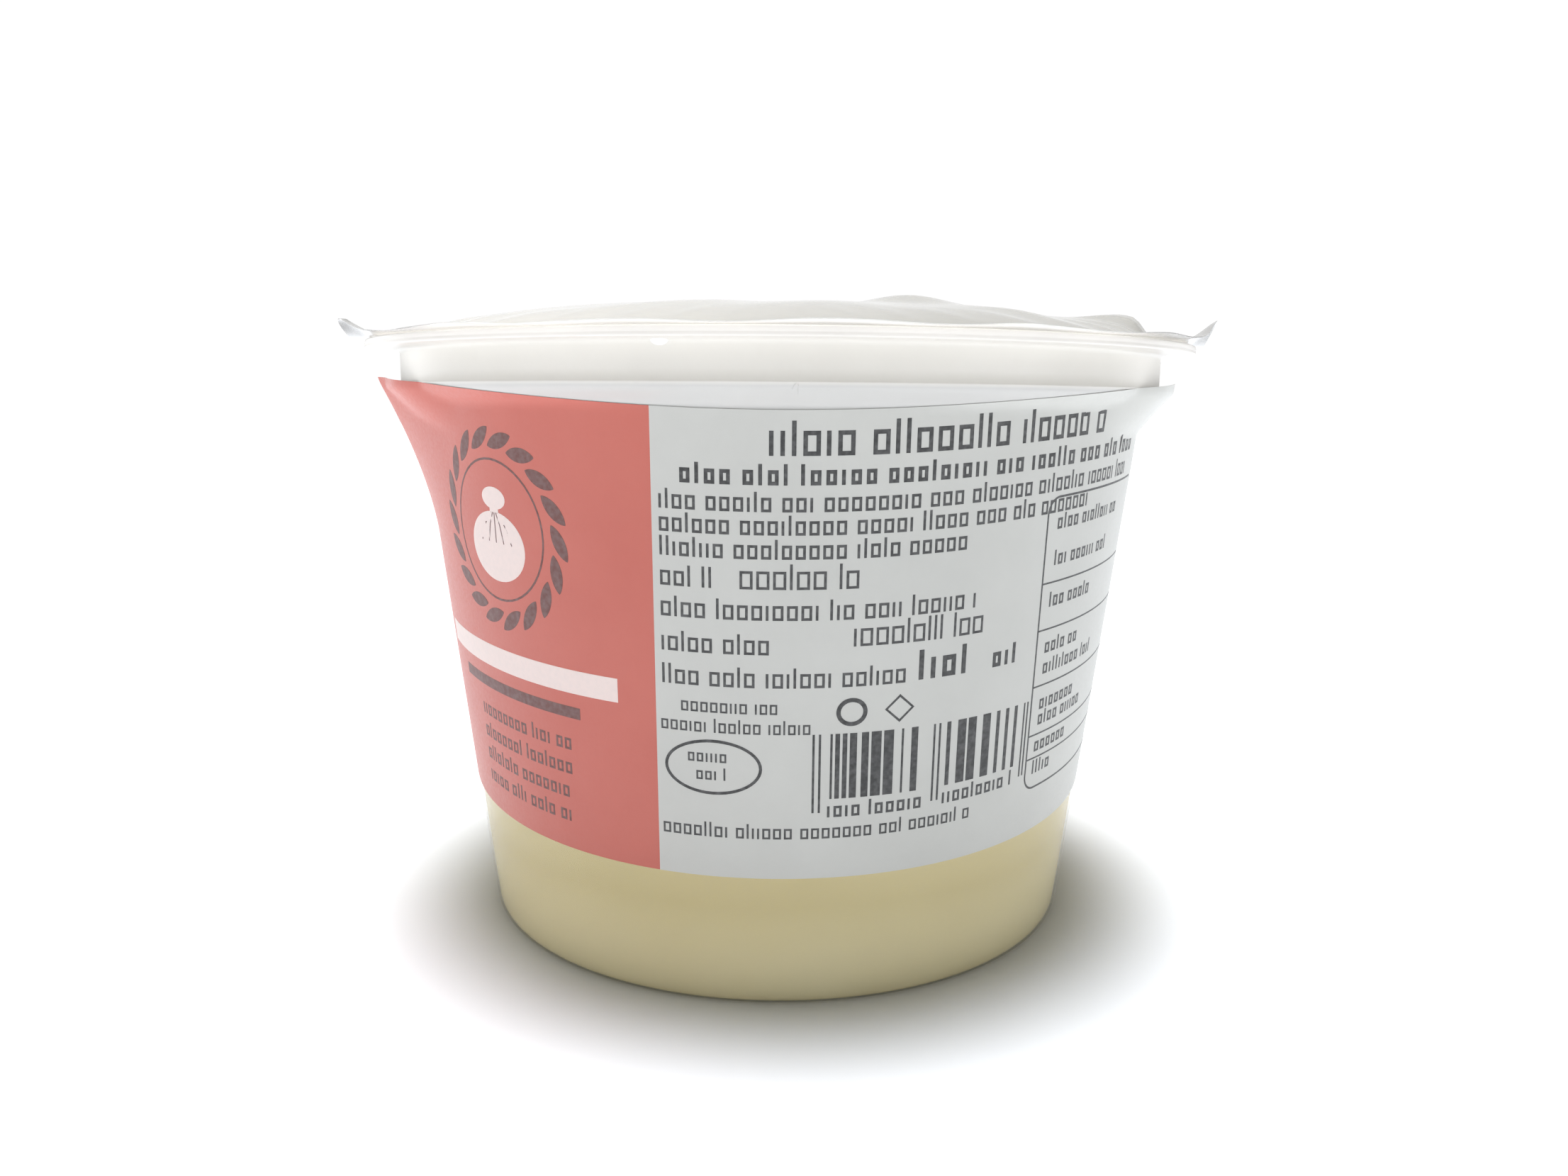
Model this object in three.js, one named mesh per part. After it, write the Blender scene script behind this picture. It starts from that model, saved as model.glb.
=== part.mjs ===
// Sealed tub of smoked burrata: a milky plastic cup with a stacking shoulder and a flange, a puffed
// clear film lid, a paper label wrapped round the front, and the cheese standing in its liquid.
// Millimetres, +Z up. The origin is the middle of the base, and -Y is the front.
import * as THREE from 'three';
import { mergeVertices } from 'three/addons/utils/BufferGeometryUtils.js';

const { clamp, lerp, smoothstep, degToRad, radToDeg } = THREE.MathUtils;

// Cup
const CUP_SIDES = 64;
const CURVE_STEPS = 3;
const BASE_R = 34.95;
const WALL_SLOPE = 0.1195;
const WALL = 0.8;
const FOOT_IN_R = 31.2;
const FOOT_OUT_R = 34;
const UNDERSIDE_R = 28.4;
const UNDERSIDE_Z = 1.2;
const BASE_EDGE_Z = 1;
const FLOOR_Z = UNDERSIDE_Z + WALL;
const GUTTER_Z = WALL;
const GUTTER_IN_R = 31.4;
const GUTTER_OUT_R = 32.4;
const GUTTER_ROUND = 2.2;

// Stacking shoulder, neck and flange
const SHOULDER_LOW_Z = 59.5;
const SHOULDER_TOP_Z = 61.3;
const NECK_R = 43.9;
const NECK_FILLET = 0.5;
const FLANGE_R = 47.5;
const FLANGE_LOW_Z = 65.05;
const FLANGE_TOP_Z = 66.0;
const FLANGE_EDGE = 0.2;
const MOUTH_R = 43.0;
const MOUTH_ROUND = 0.5;

// Film lid
const FILM_SIDES = 64;
const FILM_RINGS = 11;
const FILM_RIM_BIAS = 1.35;
const FILM_THICK = 0.22;
const FILM_GAP = 0.06;
const FILM_R = 49.1;
const FILM_WAVE = 0.22;
const FILM_WAVES = 8;
const MARGIN_START_R = FLANGE_R - 1.2;
const MARGIN_LENGTH = 3;
const PUFF_R = 43.4;
const PUFF_RISE = 4.75;
const PUFF_FULLNESS = 0.62;
const RIPPLE = 0.15;
const RIPPLES = 17;
const HUMP_BLEND = 0.12;
const HUMPS = [
  { x: 1.5, y: -15.5, rise: -1.1, spread: 7 },
  { x: 13.5, y: -15.5, rise: 1.05, spread: 6 },
  { x: 23, y: -25, rise: 0.4, spread: 4 },
  { x: 38, y: -14, rise: 1.85, spread: 5.5 },
];
const TIPS = [
  { angle: -68, reach: 0.9, lift: 1.9, spread: 7 },
  { angle: 70, reach: 0.4, lift: 2.5, spread: 9 },
];

// Paper label, laid on the wall in millimetres round from the front
const LABEL_COLUMNS = 44;
const LABEL_ROWS = 11;
const LABEL_ROW_BIAS = 1.8;
const LABEL_THICK = 0.2;
const LABEL_GAP = 0.18;
const LABEL_LEFT = 53;
const LABEL_RIGHT = 51.5;
const LABEL_LOW_Z = 14.1;
const LABEL_HIGH_Z = 59.1;
const LOW_EDGE_RISE = 4.2e-4;
const HIGH_EDGE_RISE = 3.7;
const HIGH_EDGE_SPREAD = 55;
const OVER_LOW_Z = 58.9;
const OVER_TOP_Z = 60.9;
const BRIDGE_ANGLES = [36, 58];
const BRIDGE_START_Z = 56.5;
const BRIDGE_LENGTH = 4.5;
const BRIDGE_LIFT = 3.1;
const CURL_START_ANGLE = 54;
const CURL_ANGLE = 18.5;
const CURL_START_Z = 45;
const CURL_LENGTH = 17;
const CURL_LIFT = 3.9;

// Cheese and liquid
const LIQUID_Z = 48;
const LIQUID_GAP = 0.15;
const LIQUID_STEPS = 9;
const CHEESE_SIDES = 48;
const CHEESE_GAP = 0.3;
const BALL_R = 32;
const BALL_HALF = 24.5;
const BALL_MID_Z = 26.6;
const BALL_SQUARE = 2.2;
const BALL_STEPS = 11;
const BALL_TOP_Z = 48.6;
const NECK_OF_BAG_R = 6.6;
const NECK_OF_BAG_Z = 54;
const KNOT_R = 8.6;
const KNOT_TOP_Z = 60.6;
const PLEATS = 9;
const PLEAT_DEPTH = 0.16;

const wallR = (z) => BASE_R + WALL_SLOPE * z;

function material(name, color, roughness, extra = {}) {
  return new THREE.MeshStandardMaterial({ name, color, roughness, metalness: 0, ...extra });
}

// A profile of radius and height, turned round the upright axis, with its first side at the front
function turned(profile, sides) {
  return new THREE.LatheGeometry(profile, sides).rotateX(Math.PI / 2);
}

// Moves every vertex of a geometry to the place that a rule gives for it
function reshape(geometry, rule) {
  const position = geometry.attributes.position;
  const point = new THREE.Vector3();
  for (let i = 0; i < position.count; i += 1) {
    point.fromBufferAttribute(position, i);
    rule(point);
    position.setXYZ(i, point.x, point.y, point.z);
  }
  return geometry;
}

// Shared vertices and no squashed triangles
function welded(geometry) {
  const bare = geometry.clone();
  bare.deleteAttribute('uv');
  bare.deleteAttribute('normal');
  const merged = mergeVertices(bare, 1e-5);
  const kept = [];
  for (let i = 0; i < merged.index.count; i += 3) {
    const [a, b, c] = [0, 1, 2].map((k) => merged.index.getX(i + k));
    if (a !== b && b !== c && c !== a) kept.push(a, b, c);
  }
  merged.setIndex(kept);
  return merged;
}

// A closed sheet between two copies of a flat pattern, which the rules place above and below
function sheet(pattern, upperRule, lowerRule) {
  const flat = welded(pattern);
  const upper = reshape(flat.clone(), upperRule).attributes.position.array;
  const lower = reshape(flat.clone(), lowerRule).attributes.position.array;
  const count = flat.attributes.position.count;
  const faces = Array.from(flat.index.array);
  const edges = new Set();
  const index = [];
  for (let i = 0; i < faces.length; i += 3) {
    const [a, b, c] = faces.slice(i, i + 3);
    index.push(a, b, c);
    index.push(c + count, b + count, a + count);
    [[a, b], [b, c], [c, a]].forEach(([from, to]) => edges.add(`${from},${to}`));
  }
  for (const edge of edges) {
    const [from, to] = edge.split(',').map(Number);
    if (!edges.has(`${to},${from}`)) {
      index.push(from + count, to + count, to);
      index.push(from + count, to, from);
    }
  }
  const closed = new THREE.BufferGeometry();
  const positions = Float32Array.from([...upper, ...lower]);
  closed.setAttribute('position', new THREE.BufferAttribute(positions, 3));
  closed.setIndex(index);
  return closed;
}

// The inside of the base from the wall inwards, drawn in by a gap: a gutter over the foot ring, and
// the raised middle
function floorOutline(gap) {
  const low = GUTTER_Z + gap;
  const side = WALL + gap;
  const outline = new THREE.Path();
  outline.moveTo(wallR(GUTTER_Z + GUTTER_ROUND) - side, GUTTER_Z + GUTTER_ROUND);
  outline.quadraticCurveTo(BASE_R - side, low, GUTTER_OUT_R - gap, low);
  outline.lineTo(GUTTER_IN_R + gap, low);
  outline.lineTo(UNDERSIDE_R - gap, FLOOR_Z + gap);
  return outline.getPoints(CURVE_STEPS);
}

function cupGeometry() {
  const shoulderR = wallR(SHOULDER_LOW_Z);
  const shoulderMid = (SHOULDER_LOW_Z + SHOULDER_TOP_Z) / 2;
  const outline = new THREE.Path();
  outline.moveTo(0, UNDERSIDE_Z);
  outline.lineTo(UNDERSIDE_R, UNDERSIDE_Z);
  outline.lineTo(FOOT_IN_R, 0);
  outline.lineTo(FOOT_OUT_R, 0);
  outline.quadraticCurveTo(BASE_R, 0, wallR(BASE_EDGE_Z), BASE_EDGE_Z);
  outline.lineTo(shoulderR, SHOULDER_LOW_Z);
  outline.quadraticCurveTo(shoulderR, shoulderMid, (shoulderR + NECK_R) / 2, shoulderMid);
  outline.quadraticCurveTo(NECK_R, shoulderMid, NECK_R, SHOULDER_TOP_Z);
  outline.lineTo(NECK_R, FLANGE_LOW_Z - NECK_FILLET);
  outline.quadraticCurveTo(NECK_R, FLANGE_LOW_Z, NECK_R + NECK_FILLET, FLANGE_LOW_Z);
  outline.lineTo(FLANGE_R - FLANGE_EDGE, FLANGE_LOW_Z);
  outline.lineTo(FLANGE_R, FLANGE_LOW_Z + FLANGE_EDGE);
  outline.lineTo(FLANGE_R, FLANGE_TOP_Z - FLANGE_EDGE);
  outline.lineTo(FLANGE_R - FLANGE_EDGE, FLANGE_TOP_Z);
  outline.lineTo(MOUTH_R + MOUTH_ROUND, FLANGE_TOP_Z);
  outline.quadraticCurveTo(MOUTH_R, FLANGE_TOP_Z, MOUTH_R, FLANGE_TOP_Z - MOUTH_ROUND);
  outline.lineTo(MOUTH_R, SHOULDER_TOP_Z + WALL);
  outline.quadraticCurveTo(MOUTH_R, SHOULDER_TOP_Z, shoulderR - WALL, SHOULDER_LOW_Z);
  floorOutline(0).forEach((point) => outline.lineTo(point.x, point.y));
  outline.lineTo(0, FLOOR_Z);
  return turned(outline.getPoints(CURVE_STEPS), CUP_SIDES);
}

// Radius of the squashed ball of cheese, grown by a gap, at an angle up from its middle
function ballPoint(angle, gap) {
  const out = Math.cos(angle) ** (2 / BALL_SQUARE);
  const up = Math.sign(angle) * Math.abs(Math.sin(angle)) ** (2 / BALL_SQUARE);
  return new THREE.Vector2((BALL_R + gap) * out, BALL_MID_Z + (BALL_HALF + gap) * up);
}

// The angle at which that ball reaches a height
function ballAngle(z, gap) {
  const up = (z - BALL_MID_Z) / (BALL_HALF + gap);
  return Math.sign(up) * Math.asin(Math.abs(up) ** (BALL_SQUARE / 2));
}

function liquidGeometry() {
  const low = ballAngle(FLOOR_Z + LIQUID_GAP, CHEESE_GAP);
  const high = ballAngle(LIQUID_Z, CHEESE_GAP);
  const start = ballPoint(low, CHEESE_GAP);
  const profile = [start, ...floorOutline(LIQUID_GAP).reverse()];
  profile.push(new THREE.Vector2(wallR(LIQUID_Z) - WALL - LIQUID_GAP, LIQUID_Z));
  for (let i = 0; i < LIQUID_STEPS; i += 1) {
    profile.push(ballPoint(lerp(high, low, i / LIQUID_STEPS), CHEESE_GAP));
  }
  profile.push(start.clone());
  return turned(profile, CUP_SIDES);
}

// The ball, drawn in to a gathered neck with a topknot above it, and pleated where it is drawn in
function cheeseGeometry() {
  const top = ballAngle(BALL_TOP_Z, 0);
  const profile = [new THREE.Vector2(0, BALL_MID_Z - BALL_HALF)];
  for (let i = 1; i <= BALL_STEPS; i += 1) {
    profile.push(ballPoint(lerp(-Math.PI / 2, top, i / BALL_STEPS), 0));
  }
  const ballTop = profile[profile.length - 1];
  const gathered = new THREE.Path();
  gathered.moveTo(ballTop.x, ballTop.y);
  gathered.quadraticCurveTo(NECK_OF_BAG_R + 1, BALL_TOP_Z + 2, NECK_OF_BAG_R, NECK_OF_BAG_Z);
  gathered.quadraticCurveTo(KNOT_R + 1, NECK_OF_BAG_Z + 1, KNOT_R, NECK_OF_BAG_Z + 3.5);
  gathered.quadraticCurveTo(KNOT_R - 1, KNOT_TOP_Z, 0, KNOT_TOP_Z);
  profile.push(...gathered.getPoints(CURVE_STEPS).slice(1));
  const geometry = turned(profile, CHEESE_SIDES);
  return reshape(geometry, (point) => {
    const angle = Math.atan2(point.x, -point.y);
    const drawnIn = smoothstep(point.z, LIQUID_Z, NECK_OF_BAG_Z);
    const pleat = Math.cos(PLEATS * angle) + 0.5 * Math.sin((PLEATS - 4) * angle);
    const scale = 1 + PLEAT_DEPTH * drawnIn * pleat;
    point.x *= scale;
    point.y *= scale;
  });
}

// How close an angle round the rim is to a tip of the film, from 0 to 1
function tipShare(degrees, tip) {
  return Math.exp(-(((degrees - tip.angle) / tip.spread) ** 2));
}

// Height of the film's lower face above the flange, at a point inside the rim
function filmHeight(x, y) {
  const radius = Math.hypot(x, y);
  const degrees = radToDeg(Math.atan2(x, -y));
  const inside = clamp(1 - (radius / PUFF_R) ** 2, 0, 1);
  const puff = PUFF_RISE * inside ** PUFF_FULLNESS;
  const edge = smoothstep(inside, 0, HUMP_BLEND);
  const hump = HUMPS.reduce((sum, h) => {
    const away = Math.hypot(x - h.x, y - h.y) / h.spread;
    return sum + h.rise * Math.exp(-(away ** 2));
  }, 0);
  const beyond = clamp((radius - MARGIN_START_R) / MARGIN_LENGTH, 0, 1);
  const flare = TIPS.reduce((sum, tip) => sum + tip.lift * tipShare(degrees, tip), 0);
  const ripple = RIPPLE * (1 + Math.sin(degToRad(degrees) * RIPPLES));
  return FILM_GAP + puff + hump * edge + beyond * (flare + ripple);
}

function filmGeometry() {
  const pattern = new THREE.RingGeometry(0, 1, FILM_SIDES, FILM_RINGS);
  const place = (lift) => (point) => {
    const share = Math.hypot(point.x, point.y);
    const angle = Math.atan2(point.x, -point.y);
    const degrees = radToDeg(angle);
    const reach = TIPS.reduce((sum, tip) => sum + tip.reach * tipShare(degrees, tip), 0);
    const rim = FILM_R + reach + FILM_WAVE * Math.sin(angle * FILM_WAVES);
    const radius = rim * (1 - Math.max(0, 1 - share) ** FILM_RIM_BIAS);
    point.x = radius * Math.sin(angle);
    point.y = -radius * Math.cos(angle);
    point.z = FLANGE_TOP_Z + filmHeight(point.x, point.y) + lift;
  };
  return sheet(pattern, place(FILM_THICK), place(0));
}

// How far the label stands off the wall: over the shoulder, at both top corners, which are loose,
// and most at the left one, which curls
function labelLift(degrees, z) {
  const side = smoothstep(Math.abs(degrees), ...BRIDGE_ANGLES);
  const bridge = BRIDGE_LIFT * side * clamp((z - BRIDGE_START_Z) / BRIDGE_LENGTH, 0, 1) ** 1.2;
  const end = clamp((-degrees - CURL_START_ANGLE) / CURL_ANGLE, 0, 1) ** 1.6;
  const curl = CURL_LIFT * end * clamp((z - CURL_START_Z) / CURL_LENGTH, 0, 1) ** 1.7;
  const over = (NECK_R - wallR(SHOULDER_TOP_Z)) * smoothstep(z, OVER_LOW_Z, OVER_TOP_Z);
  return Math.max(bridge, curl, over);
}

function labelGeometry() {
  const pattern = new THREE.PlaneGeometry(1, 1, LABEL_COLUMNS, LABEL_ROWS);
  const place = (lift) => (point) => {
    const across = lerp(-LABEL_LEFT, LABEL_RIGHT, point.x + 0.5);
    const up = 1 - (0.5 - point.y) ** LABEL_ROW_BIAS;
    const angle = across / wallR(lerp(LABEL_LOW_Z, LABEL_HIGH_Z, up));
    const degrees = radToDeg(angle);
    const low = LABEL_LOW_Z + LOW_EDGE_RISE * degrees ** 2;
    const high = LABEL_HIGH_Z + HIGH_EDGE_RISE * (1 - Math.exp(-((degrees / HIGH_EDGE_SPREAD) ** 2)));
    const z = lerp(low, high, up);
    const radius = wallR(z) + LABEL_GAP + labelLift(degrees, z) + lift;
    point.set(radius * Math.sin(angle), -radius * Math.cos(angle), z);
  };
  return sheet(pattern, place(LABEL_THICK), place(0));
}

const milky = material('milky_plastic', '#e6e4dd', 0.42, { transparent: true, opacity: 0.8 });
const clear = material('clear_film', '#eceae6', 0.14, { transparent: true, opacity: 0.35 });
const paper = material('paper_label', '#c8c8c5', 0.6);
const liquid = material('liquid', '#c0b184', 0.15);
const curd = material('curd', '#f1eadb', 0.4);

function part(name, geometry, finish) {
  const mesh = new THREE.Mesh(geometry, finish);
  mesh.name = name;
  return mesh;
}

const tub = new THREE.Group();
tub.add(part('tub', cupGeometry(), milky));
tub.add(part('film', filmGeometry(), clear));
tub.add(part('label', labelGeometry(), paper));
tub.add(part('brine', liquidGeometry(), liquid));
tub.add(part('burrata', cheeseGeometry(), curd));

export default tub;
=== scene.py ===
import math
import random

import bpy
from mathutils import Matrix, Vector


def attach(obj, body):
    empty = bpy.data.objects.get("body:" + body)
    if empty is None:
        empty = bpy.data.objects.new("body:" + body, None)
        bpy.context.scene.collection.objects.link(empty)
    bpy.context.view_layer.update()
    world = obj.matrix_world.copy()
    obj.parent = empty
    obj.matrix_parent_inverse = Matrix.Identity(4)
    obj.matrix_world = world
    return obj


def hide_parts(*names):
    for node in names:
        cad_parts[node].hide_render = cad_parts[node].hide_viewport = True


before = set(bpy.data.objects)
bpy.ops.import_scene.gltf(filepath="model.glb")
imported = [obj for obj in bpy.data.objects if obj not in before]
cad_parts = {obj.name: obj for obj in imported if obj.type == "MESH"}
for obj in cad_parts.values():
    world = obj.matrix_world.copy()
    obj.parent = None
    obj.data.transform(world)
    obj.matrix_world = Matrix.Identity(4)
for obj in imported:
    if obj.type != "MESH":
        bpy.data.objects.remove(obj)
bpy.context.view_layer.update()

MM = 0.001
TAU = 2 * math.pi

# Sizes in millimetres, as the frame has them
BASE_R = 34.95
WALL_SLOPE = 0.1195
WALL = 0.8
FLOOR_Z = 2.0
FOOT_R = (31.2, 34.0)
UNDERSIDE = (28.4, 1.2)
BASE_EDGE_Z = 1.0
GUTTER_Z = 0.8
GUTTER_R = (31.4, 32.4)
GUTTER_ROUND = 2.2
SHOULDER_Z = (59.2, 61.3)
NECK_R = 43.9
FLANGE_R = 47.5
FLANGE_Z = (65.05, 66.0)
MOUTH_R = 43.0
LIQUID_Z = 48.0
LABEL_LEFT = 53.0
LABEL_RIGHT = 51.5
LABEL_LOW_Z = 14.1
LABEL_HIGH_Z = 59.1
LABEL_TALL = LABEL_HIGH_Z - LABEL_LOW_Z
RED_EDGE = -11.5
BALL_R = 32.0
BALL_HALF = 24.5
BALL_MID_Z = 26.6
BALL_SQUARE = 2.2


def wall_r(z):
    return BASE_R + WALL_SLOPE * z


def outer_r(z):
    """Outer radius of the cup between its base edge and its flange."""
    low = wall_r(SHOULDER_Z[0])
    return mix(min(wall_r(z), low), NECK_R, smooth(z, *SHOULDER_Z))


def clamp(x, low=0.0, high=1.0):
    return max(low, min(high, x))


def ramp_up(x, low, high):
    return clamp((x - low) / (high - low))


def smooth(x, low, high):
    t = ramp_up(x, low, high)
    return t * t * (3 - 2 * t)


def mix(a, b, t):
    return a + (b - a) * t


# Mesh building
def new_piece(name, points, faces, replaced=None, smooth_faces=True):
    mesh = bpy.data.meshes.new(name)
    mesh.from_pydata([(x * MM, y * MM, z * MM) for x, y, z in points], [], faces)
    mesh.validate()
    mesh.update()
    if smooth_faces:
        mesh.polygons.foreach_set("use_smooth", [True] * len(mesh.polygons))
        mesh.set_sharp_from_angle(angle=math.radians(40))
    piece = bpy.data.objects.new(name, mesh)
    bpy.context.scene.collection.objects.link(piece)
    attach(piece, "root")
    if replaced:
        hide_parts(replaced)
    return piece


def arc(start, control, end, steps):
    """Points of a quadratic curve after its start."""
    out = []
    for i in range(1, steps + 1):
        t = i / steps
        out.append(tuple((1 - t) ** 2 * s + 2 * t * (1 - t) * c + t * t * e
                         for s, c, e in zip(start, control, end)))
    return out


def line(start, end, steps):
    """Points of a straight stretch after its start."""
    return [tuple(mix(s, e, i / steps) for s, e in zip(start, end)) for i in range(1, steps + 1)]


def lathe(profile, sides, bend=None):
    """Points and faces of a profile that starts and ends on the axis, or closes on itself."""
    closed = profile[0][0] > 1e-6
    rows = profile if closed else profile[1:-1]
    points, faces = [], []
    for r, z in rows:
        for i in range(sides):
            a = TAU * i / sides
            radius, height = bend(r, z, a) if bend else (r, z)
            points.append((radius * math.sin(a), -radius * math.cos(a), height))
    count = len(rows)
    for j in range(count if closed else count - 1):
        k = (j + 1) % count
        for i in range(sides):
            n = (i + 1) % sides
            faces.append((j * sides + i, j * sides + n, k * sides + n, k * sides + i))
    if not closed:
        for ring, (r, z), flip in ((0, profile[0], True), (count - 1, profile[-1], False)):
            pole = len(points)
            points.append((0.0, 0.0, bend(r, z, 0.0)[1] if bend else z))
            for i in range(sides):
                a, b = ring * sides + i, ring * sides + (i + 1) % sides
                faces.append((b, a, pole) if flip else (a, b, pole))
    return points, faces


def sheet(columns, rows, upper, lower, wrapped=False):
    """A closed sheet between two faces, each given by a rule of column and row."""
    points = [rule(i, j) for rule in (upper, lower) for j in range(rows + 1)
              for i in range(columns + (0 if wrapped else 1))]
    wide = columns + (0 if wrapped else 1)
    half = wide * (rows + 1)
    faces = []

    def at(i, j):
        return j * wide + i % wide

    for j in range(rows):
        for i in range(columns):
            quad = (at(i, j), at(i + 1, j), at(i + 1, j + 1), at(i, j + 1))
            faces.append(quad)
            faces.append(tuple(half + p for p in reversed(quad)))
    rim = [(at(i, 0), at(i + 1, 0)) for i in range(columns)]
    rim += [(at(i + 1, rows), at(i, rows)) for i in range(columns)]
    if not wrapped:
        rim += [(at(columns, j), at(columns, j + 1)) for j in range(rows)]
        rim += [(at(0, j + 1), at(0, j)) for j in range(rows)]
    faces += [(half + a, half + b, b, a) for a, b in rim]
    return points, faces


# Materials
def nodes_of(name):
    material = bpy.data.materials.new(name)
    material.use_nodes = True
    tree = material.node_tree
    tree.nodes.clear()
    out = tree.nodes.new("ShaderNodeOutputMaterial")
    return material, tree, out


def add(tree, kind, inputs=None, **settings):
    node = tree.nodes.new(kind)
    for key, value in settings.items():
        setattr(node, key, value)
    for key, value in (inputs or {}).items():
        if isinstance(value, bpy.types.NodeSocket):
            tree.links.new(value, node.inputs[key])
        else:
            node.inputs[key].default_value = value
    return node


def srgb(red, green, blue):
    def linear(c):
        c /= 255
        return c / 12.92 if c <= 0.04045 else ((c + 0.055) / 1.055) ** 2.4
    return (linear(red), linear(green), linear(blue), 1.0)


def place_of(tree):
    return add(tree, "ShaderNodeTexCoord").outputs["Object"]


def noise(tree, vector, scale, detail=3.0, rough=0.5):
    return add(tree, "ShaderNodeTexNoise",
               {"Vector": vector, "Scale": scale, "Detail": detail, "Roughness": rough}).outputs["Fac"]


def ramp(tree, factor, stops):
    node = add(tree, "ShaderNodeValToRGB", {"Fac": factor})
    elements = node.color_ramp.elements
    while len(elements) < len(stops):
        elements.new(0.5)
    for element, (place, colour) in zip(elements, stops):
        element.position = place
        element.color = colour
    return node.outputs["Color"]


def grey(value):
    return (value, value, value, 1.0)


def ranged(tree, value, low, high, to_low, to_high):
    return add(tree, "ShaderNodeMapRange",
               {"Value": value, "From Min": low, "From Max": high,
                "To Min": to_low, "To Max": to_high}).outputs["Result"]


def height_of(tree, vector):
    return add(tree, "ShaderNodeSeparateXYZ", {"Vector": vector}).outputs["Z"]


def bump(tree, height, strength, distance):
    return add(tree, "ShaderNodeBump",
               {"Height": height, "Strength": strength, "Distance": distance}).outputs["Normal"]


def shift(tree, value, low, high, before, after):
    """One colour below a value in millimetres and another above it."""
    factor = ranged(tree, value, low * MM, high * MM, 0.0, 1.0)
    return add(tree, "ShaderNodeMix", {"Factor": factor, "A": before, "B": after},
               data_type="RGBA").outputs["Result"]


def milky_plastic():
    material, tree, out = nodes_of("milky_plastic")
    place = place_of(tree)
    z = height_of(tree, place)
    mottle = noise(tree, place, 60.0, 4.0)
    # Colour steps by height. The wall and shoulder below the neck are painted darker, as painted shade
    # against the bright floor light on the down-facing shoulder. The flange rim is lighter, partly for
    # its thicker plastic and partly as painted light.
    body = ramp(tree, mottle, [(0.3, srgb(197, 196, 193)), (0.7, srgb(203, 202, 199))])
    neck = ramp(tree, mottle, [(0.3, srgb(218, 215, 208)), (0.7, srgb(224, 221, 214))])
    rim = ramp(tree, mottle, [(0.3, srgb(230, 226, 220)), (0.7, srgb(236, 232, 226))])
    colour = shift(tree, z, SHOULDER_Z[1] - 0.2, SHOULDER_Z[1] + 0.2, body, neck)
    colour = shift(tree, z, FLANGE_Z[0] - 0.1, FLANGE_Z[0] + 0.1, colour, rim)
    flow = noise(tree, place, 900.0, 2.0)
    cover = ranged(tree, z, (LIQUID_Z - 1) * MM, (LIQUID_Z + 8) * MM, 0.16, 0.92)
    shader = add(tree, "ShaderNodeBsdfPrincipled",
                 {"Base Color": colour, "Roughness": ranged(tree, mottle, 0.3, 0.7, 0.3, 0.4),
                  "IOR": 1.49, "Alpha": cover, "Normal": bump(tree, flow, 0.05, 0.0002)})
    tree.links.new(shader.outputs[0], out.inputs["Surface"])
    return material


def seal_plastic():
    material, tree, out = nodes_of("seal_plastic")
    grain = noise(tree, place_of(tree), 700.0, 2.0)
    colour = ramp(tree, grain, [(0.3, srgb(232, 231, 228)), (0.7, srgb(238, 237, 235))])
    shader = add(tree, "ShaderNodeBsdfPrincipled",
                 {"Base Color": colour, "Roughness": 0.2, "IOR": 1.49})
    tree.links.new(shader.outputs[0], out.inputs["Surface"])
    return material


def clear_film():
    material, tree, out = nodes_of("clear_film")
    place = place_of(tree)
    haze = ranged(tree, noise(tree, place, 45.0, 5.0), 0.3, 0.7, 0.08, 0.18)
    flat = add(tree, "ShaderNodeVectorMath", {0: place, 1: (1.0, 1.0, 0.0)}, operation="MULTIPLY")
    span = add(tree, "ShaderNodeVectorMath", {0: flat.outputs[0]}, operation="LENGTH")
    radius = span.outputs["Value"]
    margin = ranged(tree, radius, 46.5 * MM, 48.5 * MM, 0.0, 0.5)
    wrinkles = bump(tree, noise(tree, place, 170.0, 1.0), 0.12, 0.0004)
    x = add(tree, "ShaderNodeSeparateXYZ", {"Vector": place}).outputs["X"]
    # Painted shade by side: the dome is coloured lighter to the left and darker to the right.
    dome_painted_shade = shift(tree, x, -38.0, 14.0, srgb(216, 215, 213), srgb(180, 180, 178))
    # The loose margin is painted darker towards both sides, as painted shade against the floor's
    # bright reflection in its underside.
    aside = add(tree, "ShaderNodeMath", {0: x}, operation="ABSOLUTE").outputs[0]
    skirt_painted_shade = shift(tree, aside, 30.0, 40.0, srgb(240, 239, 236), srgb(130, 129, 126))
    body = add(tree, "ShaderNodeBsdfPrincipled",
               {"Base Color": shift(tree, radius, 46.5, 48.0, dome_painted_shade, skirt_painted_shade),
                "Roughness": 0.12, "IOR": 1.6, "Normal": wrinkles})
    clear = add(tree, "ShaderNodeBsdfTransparent", {"Color": grey(0.974)})
    edge = add(tree, "ShaderNodeLayerWeight", {"Blend": 0.2}).outputs["Fresnel"]
    inner = add(tree, "ShaderNodeMath", {0: haze, 1: edge}, operation="ADD").outputs[0]
    cover = add(tree, "ShaderNodeMath", {0: inner, 1: margin}, operation="ADD", use_clamp=True)
    mixed = add(tree, "ShaderNodeMixShader",
                {0: cover.outputs[0], 1: clear.outputs[0], 2: body.outputs[0]})
    tree.links.new(mixed.outputs[0], out.inputs["Surface"])
    return material


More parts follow.
